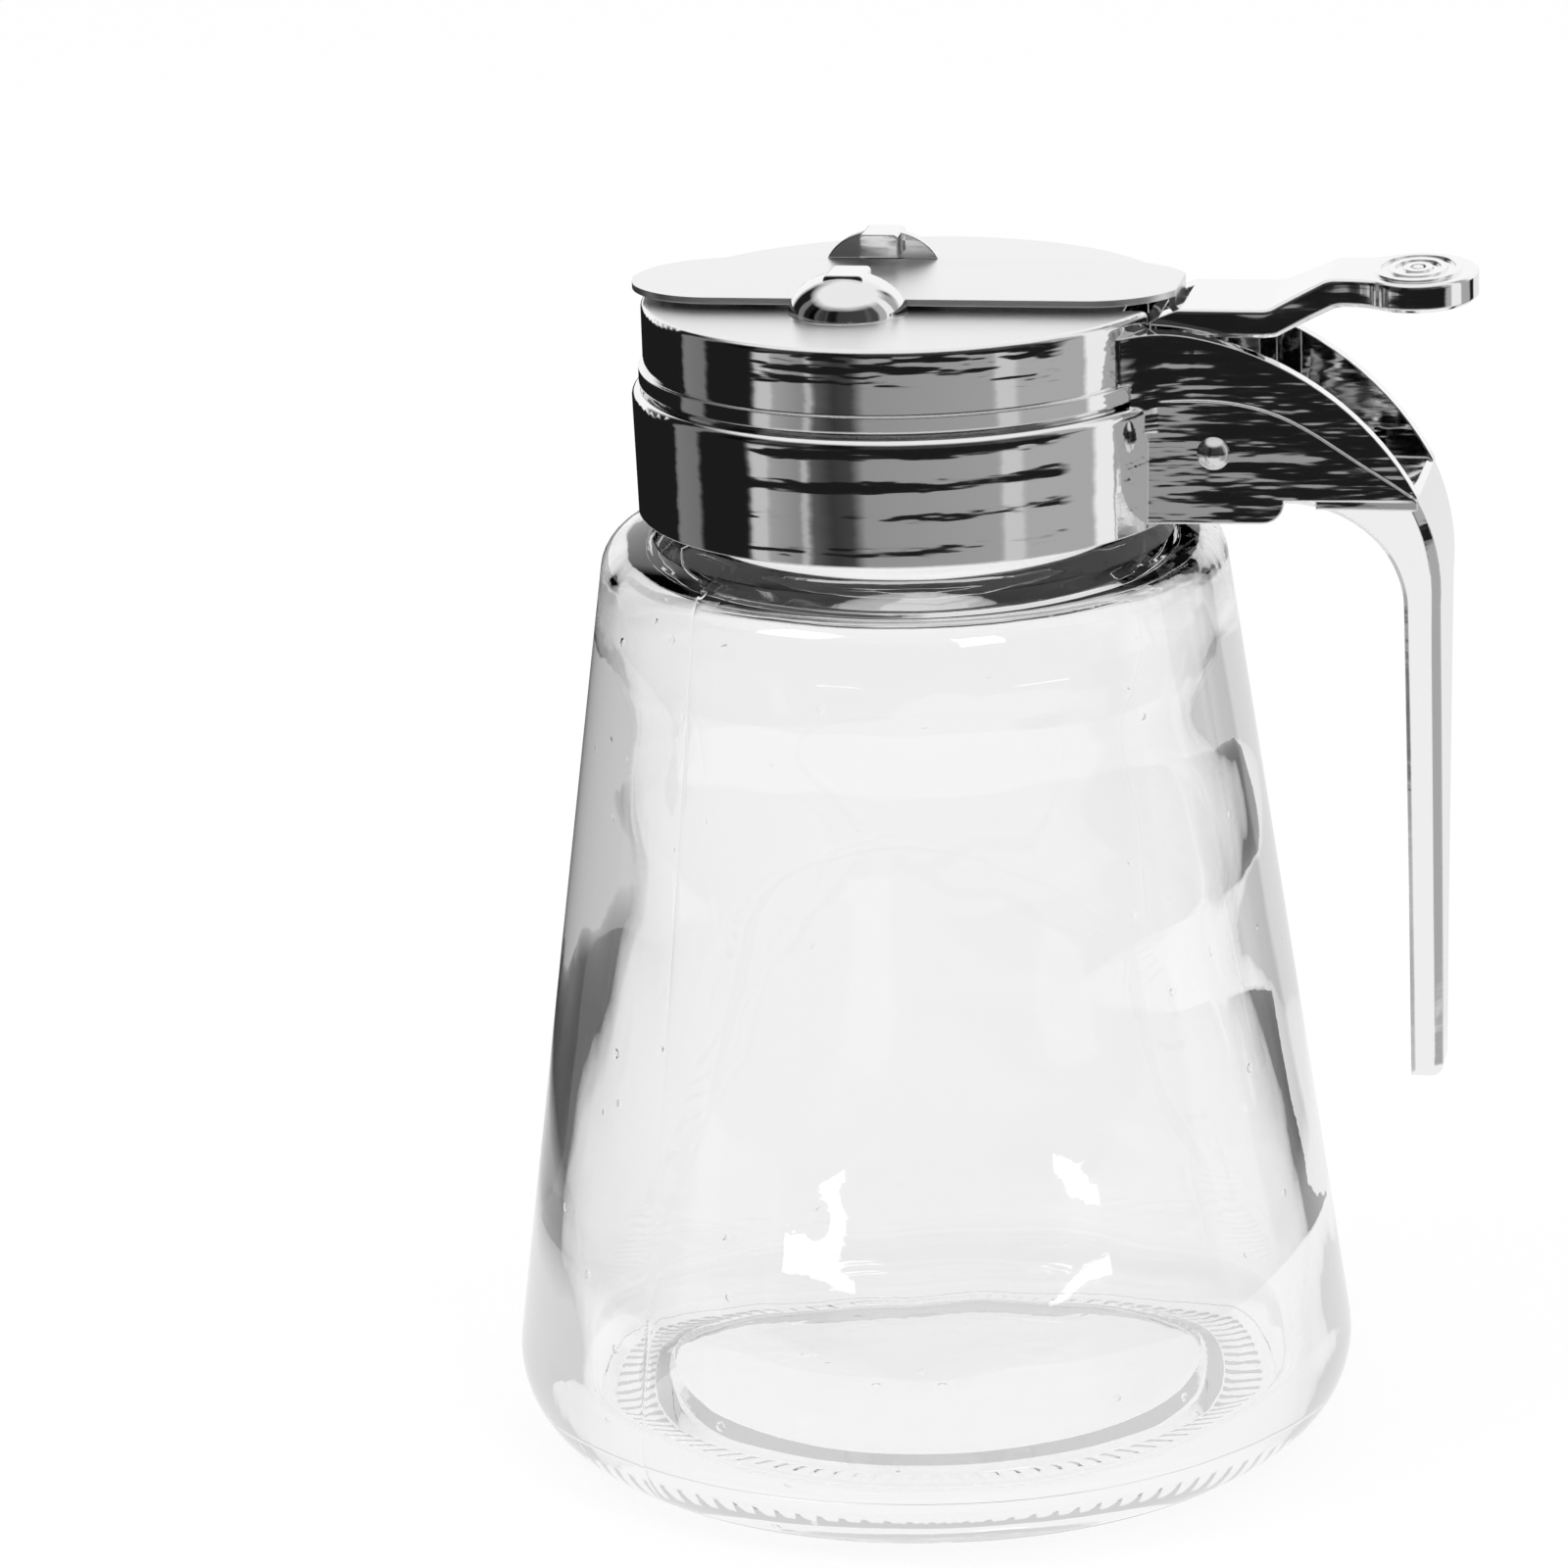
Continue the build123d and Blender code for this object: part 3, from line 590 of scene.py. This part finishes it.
def satin_steel():
    """Rolled steel with its grain along x, the strip's length."""
    finish = Finish("satin_steel")
    grain = finish.noise(finish.place((0.03, 1, 1)), 6000, 3.0, 0.6)
    cloud = finish.noise(finish.place((0.4, 1, 1)), 120, 3.0)
    edge = finish.make("ShaderNodeBevel", {"samples": 6}, {"Radius": 0.00015})
    steel = finish.surface(
        Base_Color=(0.88, 0.88, 0.88, 1),
        Metallic=1.0,
        Roughness=0.24 + cloud * 0.1 + grain * 0.05,
        Normal=finish.relief(grain, 0.000004, edge),
    )
    return finish.end(steel)


dress("shutter", satin_steel())

# ---- thumb lever ----
# The plated lever: a plate over the pivot, a waisted neck and an oval pad with ringed grip.  It
# turns on the cross pin, and its front leg draws the shutter back.

dress("thumb_lever", plating("lever_plating", 120, 0.0003, 0.00004))

# ---- torsion spring ----
# Bright drawn wire, wound on the pin: one leg lies on the platform, the other pushes the
# lever's front bar up.

wire_radius, coil_radius, coil_pitch, coil_turns = 0.4, 2.2, 0.84, 3
pin_reach, pin_height, coil_start = 34.0, 112.5, -2.65
lower_leg_end, lower_leg_height = 46.5, 108.2
upper_leg_end, upper_leg_height = 28.35, 124.8


def bright_wire():
    """Drawn steel wire, finely marked."""
    finish = Finish("bright_wire")
    drawn = finish.noise(finish.place(), 2600, 3.0, 0.6)
    wire = finish.surface(
        Base_Color=(0.62, 0.62, 0.63, 1),
        Metallic=1.0,
        Roughness=0.16 + drawn * 0.12,
        Normal=finish.relief(drawn, 0.000004),
    )
    return finish.end(wire)


def spring_path(steps=28):
    """The wire's middle line: out along the lower leg, round the pin, and up the upper leg."""
    lower, upper = coil_start, coil_start - coil_turns * coil_pitch
    line = [Vector((lower_leg_end, lower, lower_leg_height))]
    for step in range(int(steps * (coil_turns + 0.25)) + 1):
        turned = 2 * math.pi * step / steps
        down = max(upper, lower - coil_pitch * step / steps)
        reach = pin_reach - coil_radius * math.sin(turned)
        line.append(Vector((reach, down, pin_height - coil_radius * math.cos(turned))))
    line.append(Vector((upper_leg_end, upper, upper_leg_height)))
    return line


def spring_mesh(material):
    """The wire, as a round section along its path."""
    path = [point * mm for point in spring_path()]
    source = bpy.data.meshes.new("spring_path")
    source.from_pydata(path, [(at, at + 1) for at in range(len(path) - 1)], [])
    shaper = Shaper("wire_along_path", Wire_Radius=wire_radius * mm, Sides=14)
    line = shaper.make("GeometryNodeMeshToCurve", {}, {"Mesh": shaper.given("Geometry")})
    sockets = {"Resolution": shaper.given("Sides"), "Radius": shaper.given("Wire_Radius")}
    section = shaper.make("GeometryNodeCurvePrimitiveCircle", {}, sockets)
    sockets = {"Curve": line, "Profile Curve": section, "Fill Caps": True}
    tube = shaper.make("GeometryNodeCurveToMesh", {}, sockets)
    return shaper.mesh(tube, source, material, "torsion_wire")


spring_wire = bright_wire()
spring = add(spring_mesh(spring_wire), None, "spring_wire", spring_wire, "torsion_spring")
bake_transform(spring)

# ---- pivot pin and its cap ----
# The pin is turned steel with a low dome.  It carries the lever between the cheeks, and a
# ringed cap is pushed on its far end.

def turned_steel():
    """Steel with the fine marks of the lathe."""
    finish = Finish("turned_steel")
    lathe = finish.noise(finish.place((1, 0.2, 1)), 3000)
    steel = finish.surface(
        Base_Color=(0.70, 0.70, 0.71, 1),
        Metallic=1.0,
        Roughness=0.10 + lathe * 0.14,
        Normal=finish.relief(lathe, 0.000003),
    )
    return finish.end(steel)


steel = turned_steel()
dress("pivot_pin", steel)
dress("pin_cap", steel)

# ---- studio ----
# A white table that ends in front of the jug, a white sheet behind it, painted dark flags at the
# sides, two small painted window highlights, two soft boxes above and the camera.

# what stands round the table, as shares of a turn from behind, by the left, front and right
room_round = [
    (0.000, 0.80), (0.030, 0.80), (0.034, 0.012), (0.216, 0.012), (0.220, 0.20), (0.258, 0.17),
    (0.264, 0.012), (0.335, 0.012), (0.341, 0.55), (0.360, 0.55), (0.364, 0.36), (0.402, 0.25),
    (0.405, 0.45), (0.412, 0.45), (0.415, 0.11), (0.440, 0.04), (0.462, 0.06), (0.476, 0.30),
    (0.628, 0.36), (0.632, 0.60), (0.652, 0.60), (0.658, 0.42), (0.748, 0.42), (0.752, 0.90),
    (0.805, 0.90), (0.809, 0.40), (0.858, 0.40), (0.870, 0.012), (0.893, 0.012), (0.900, 0.85),
]
# levels of light, 1 being white
table_white, table_seen, sheet_white, ceiling_white, room_light = 0.95, 0.9, 1.0, 0.9, 0.75
# the flag levels are painted dark reflections, given only to rays mirrored inside the glass
black, painted_flag_dark, painted_flag_at_foot, painted_past_flag = 0.012, 0.05, 0.6, 0.12
# how pale the table is to the lamps, so that it shows the jug's shadow
table_diffuse = 0.12
# in metres: half the table's width, and its drop below the foot
table_half, table_drop = 3.0, 0.0003
# how far out the table is white, behind and in front, and over what length that ends
white_behind, white_in_front, white_fade = 0.14, 0.24, 0.02
# from where to where the front begins, and the table ends there
front_begins, table_end = (-0.10, -0.16), (0.465, 0.485)
# how far out from the jug the table is painted darker towards the flags, for rays mirrored in the
# glass
painted_flag_out, painted_flags_out = (0.06, 0.22), 0.15
# parts of the room, by the y or z of a direction, and the share of its level left in front
sheet_behind, room_front, front_share = (0.55, 0.70), (-0.25, -0.35), 0.15
ceiling_begins, painted_flag_top = (0.62, 0.8), 0.3
# the painted left flag and the painted dark away from the sheet, as shares of a turn
painted_flag_turns, away_from_sheet = (0.09, 0.28), (0.14, 0.92)
# painted highlights, as small windows that only rays mirrored inside the glass see: their azimuth
# from the front and height in degrees, half sizes, and level
painted_windows = [(-23, 12.5), (56, 8)]
painted_window_half_turn, painted_window_half_height, painted_window_level = 0.024, 0.008, 5.0


def turn_of(finish, x, y):
    """Where this x and y lie, as a share of a turn from behind, by the left, front and right."""
    return finish.maths("ARCTAN2", x, y * -1.0) / (2 * math.pi) + 0.5


def round_the_room(finish, x, y):
    """The room's level in the direction of this x and y."""
    sockets = {"Fac": turn_of(finish, x, y)}
    return finish.make("ShaderNodeValToRGB", {"stops": room_round}, sockets)


def plain_view(finish):
    """1 for what the camera sees, straight or through glass, and 0 for mirrored rays."""
    straight = finish.light_path("Is Transmission Ray") * (1 - finish.mirrored_more(0))
    return finish.maths("MAXIMUM", finish.light_path("Is Camera Ray"), straight)


def painted_left_flag(finish, x, y):
    """1 for rays mirrored inside the glass that leave towards the left, where a dark flag is
    painted for them.
    """
    inside = finish.light_path("Transmission Depth") > 0.5
    turn = turn_of(finish, x, y)
    towards = (turn > painted_flag_turns[0]) * (turn < painted_flag_turns[1])
    return inside * finish.mirrored_more(0) * towards


def painted_past_flags(finish, x, y):
    """1 for rays mirrored once inside the glass, away from the white sheet behind, which get a
    painted dark grey.
    """
    once = finish.mirrored_more(0) * (1 - finish.mirrored_more(1))
    turn = turn_of(finish, x, y)
    towards = (turn > away_from_sheet[0]) * (turn < away_from_sheet[1])
    return finish.light_path("Is Transmission Ray") * once * towards


def blend_levels(finish, share, low, high):
    """Low where the share is 0 and high where it is 1."""
    sockets = {"Factor": share, "A": low, "B": high}
    return finish.make("ShaderNodeMix", {"data_type": "FLOAT"}, sockets)


def table():
    """The table glows at its levels, and where it is seen it takes the jug's shadow."""
    mesh = bpy.data.meshes.new("table")
    left, right = -table_half, table_half
    corners = [(left, left, 0), (right, left, 0), (right, right, 0), (left, right, 0)]
    mesh.from_pydata(corners, [], [(0, 1, 2, 3)])
    mesh.transform(Matrix.Translation((0, 0, -table_drop)))
    piece = bpy.data.objects.new("table", mesh)
    bpy.context.scene.collection.objects.link(piece)
    finish = Finish("table_top")
    x, y = finish.position()[:2]
    away = finish.from_axis(x, y)
    # the white table is near; past it in front the room is dark, and flags stand round it
    far = round_the_room(finish, x, y)
    in_front = finish.ease(y, *front_begins)
    front = blend_levels(finish, finish.ease(away, *table_end), far, black)
    far = blend_levels(finish, in_front, far, front)
    start = blend_levels(finish, in_front, white_behind, white_in_front)
    level = blend_levels(finish, finish.ease(away - start, 0.0, white_fade), table_white, far)
    # painted shade: towards the left the table is painted darker outwards, where only rays
    # mirrored in the glass catch it
    painted_flag_level = blend_levels(finish, finish.ease(away, *painted_flag_out), painted_flag_at_foot, painted_flag_dark)
    level = blend_levels(finish, painted_left_flag(finish, x, y), level, painted_flag_level)
    # painted shade: rays mirrored once in the glass, away from the sheet, get a dark grey
    grazed = painted_past_flags(finish, x, y) * (away > painted_flags_out)
    seen = plain_view(finish) * (1 - grazed)
    level = blend_levels(finish, grazed, level, painted_past_flag)
    level = blend_levels(finish, seen, level, table_seen)
    glow = finish.make("ShaderNodeEmission", {}, {"Color": (1, 1, 1, 1), "Strength": level})
    grey = (table_diffuse, table_diffuse, table_diffuse, 1)
    chalk = finish.make("ShaderNodeBsdfDiffuse", {}, {"Color": grey})
    both = finish.make("ShaderNodeAddShader", {}, {0: glow, 1: chalk})
    shown = finish.make("ShaderNodeMixShader", {}, {0: seen, 1: glow, 2: both})
    mesh.materials.append(finish.end(shown))


def painted_window(finish, x, y, z, azimuth, height):
    """1 towards a painted highlight, a small window that only the inside of the glass catches."""
    middle = 0.5 + azimuth / 360
    across = finish.maths("ABSOLUTE", turn_of(finish, x, y) - middle) < painted_window_half_turn
    middle = math.sin(math.radians(height))
    upward = finish.maths("ABSOLUTE", z - middle) < painted_window_half_height
    return across * upward


def room():
    """The world: what a ray finds past the table, by where it goes and how it came there."""
    finish = Finish("room", bpy.context.scene.world or bpy.data.worlds.new("room"))
    bpy.context.scene.world = finish.owner
    x, y, z = finish.position("Generated")
    sides = round_the_room(finish, x, y)
    sides = blend_levels(finish, finish.ease(y, *sheet_behind), sides, sheet_white)
    in_front = finish.ease(y, *room_front)
    sides = blend_levels(finish, in_front, sides, sides * front_share)
    level = blend_levels(finish, finish.ease(z, *ceiling_begins), sides, ceiling_white)
    mirrored = finish.mirrored_more(0)
    glossy = finish.maths("MAXIMUM", finish.light_path("Is Glossy Ray"), mirrored)
    level = blend_levels(finish, glossy, room_light, level)
    # painted dark reflections: rays mirrored inside the glass find dark low towards the left and
    # away from the sheet
    low = z < painted_flag_top
    level = blend_levels(finish, painted_left_flag(finish, x, y) * low, level, painted_flag_dark)
    grazed = painted_past_flags(finish, x, y) * low
    level = blend_levels(finish, grazed, level, painted_past_flag)
    level = blend_levels(finish, plain_view(finish) * (1 - grazed), level, sheet_white)
    # painted highlights: rays mirrored inside the glass find bright windows here
    inside = finish.light_path("Transmission Depth") > 1.5
    left, right = (painted_window(finish, x, y, z, *towards) for towards in painted_windows)
    level = level + (left + right) * inside * mirrored * painted_window_level
    glow = finish.make("ShaderNodeBackground", {}, {"Color": (1, 1, 1, 1), "Strength": level})
    finish.end(glow, "ShaderNodeOutputWorld")


def soft_box(name, place, side=0.25, power=1.2, aimed_at=(0, 0, 0.08)):
    """A square lamp over the jug, kept out of the plating's reflections."""
    lamp = bpy.data.lights.new(name, "AREA")
    lamp.shape = "RECTANGLE"
    lamp.size, lamp.size_y = side, side
    lamp.energy = power
    holder = bpy.data.objects.new(name, lamp)
    holder.location = place
    holder.visible_glossy = False
    aim = Vector(aimed_at) - Vector(place)
    holder.rotation_euler = aim.to_track_quat("-Z", "Y").to_euler()
    bpy.context.scene.collection.objects.link(holder)


def camera():
    """A long lens that looks down on the jug, from a little to the handle's side."""
    away, height, round_angle = 0.6734, 0.2745, math.radians(10.42)
    yaw, pitch, roll = math.radians(1.26), math.radians(16.67), math.radians(-1.97)
    place = Vector((away * math.sin(round_angle), -away * math.cos(round_angle), height))
    heading = round_angle + yaw
    ahead = Vector((-math.sin(heading), math.cos(heading), 0))
    side = Vector((ahead.y, -ahead.x, 0))
    forward = ahead * math.cos(pitch) - Vector((0, 0, math.sin(pitch)))
    up = side.cross(forward)
    right = side * math.cos(roll) + up * math.sin(roll)
    up = up * math.cos(roll) - side * math.sin(roll)
    data = bpy.data.cameras.new("camera")
    data.lens, data.sensor_width = 148.73, 36.0
    data.clip_start, data.clip_end = 0.01, 50.0
    holder = bpy.data.objects.new("camera", data)
    turned = Matrix((right, up, -forward)).transposed().to_4x4()
    holder.matrix_world = Matrix.Translation(place) @ turned
    bpy.context.scene.collection.objects.link(holder)
    bpy.context.scene.camera = holder


table()
room()
soft_box("soft_box_left", (-0.42, -0.30, 0.80))
soft_box("soft_box_right", (0.39, -0.47, 0.73))
camera()
bpy.context.scene.view_settings.view_transform = "Standard"
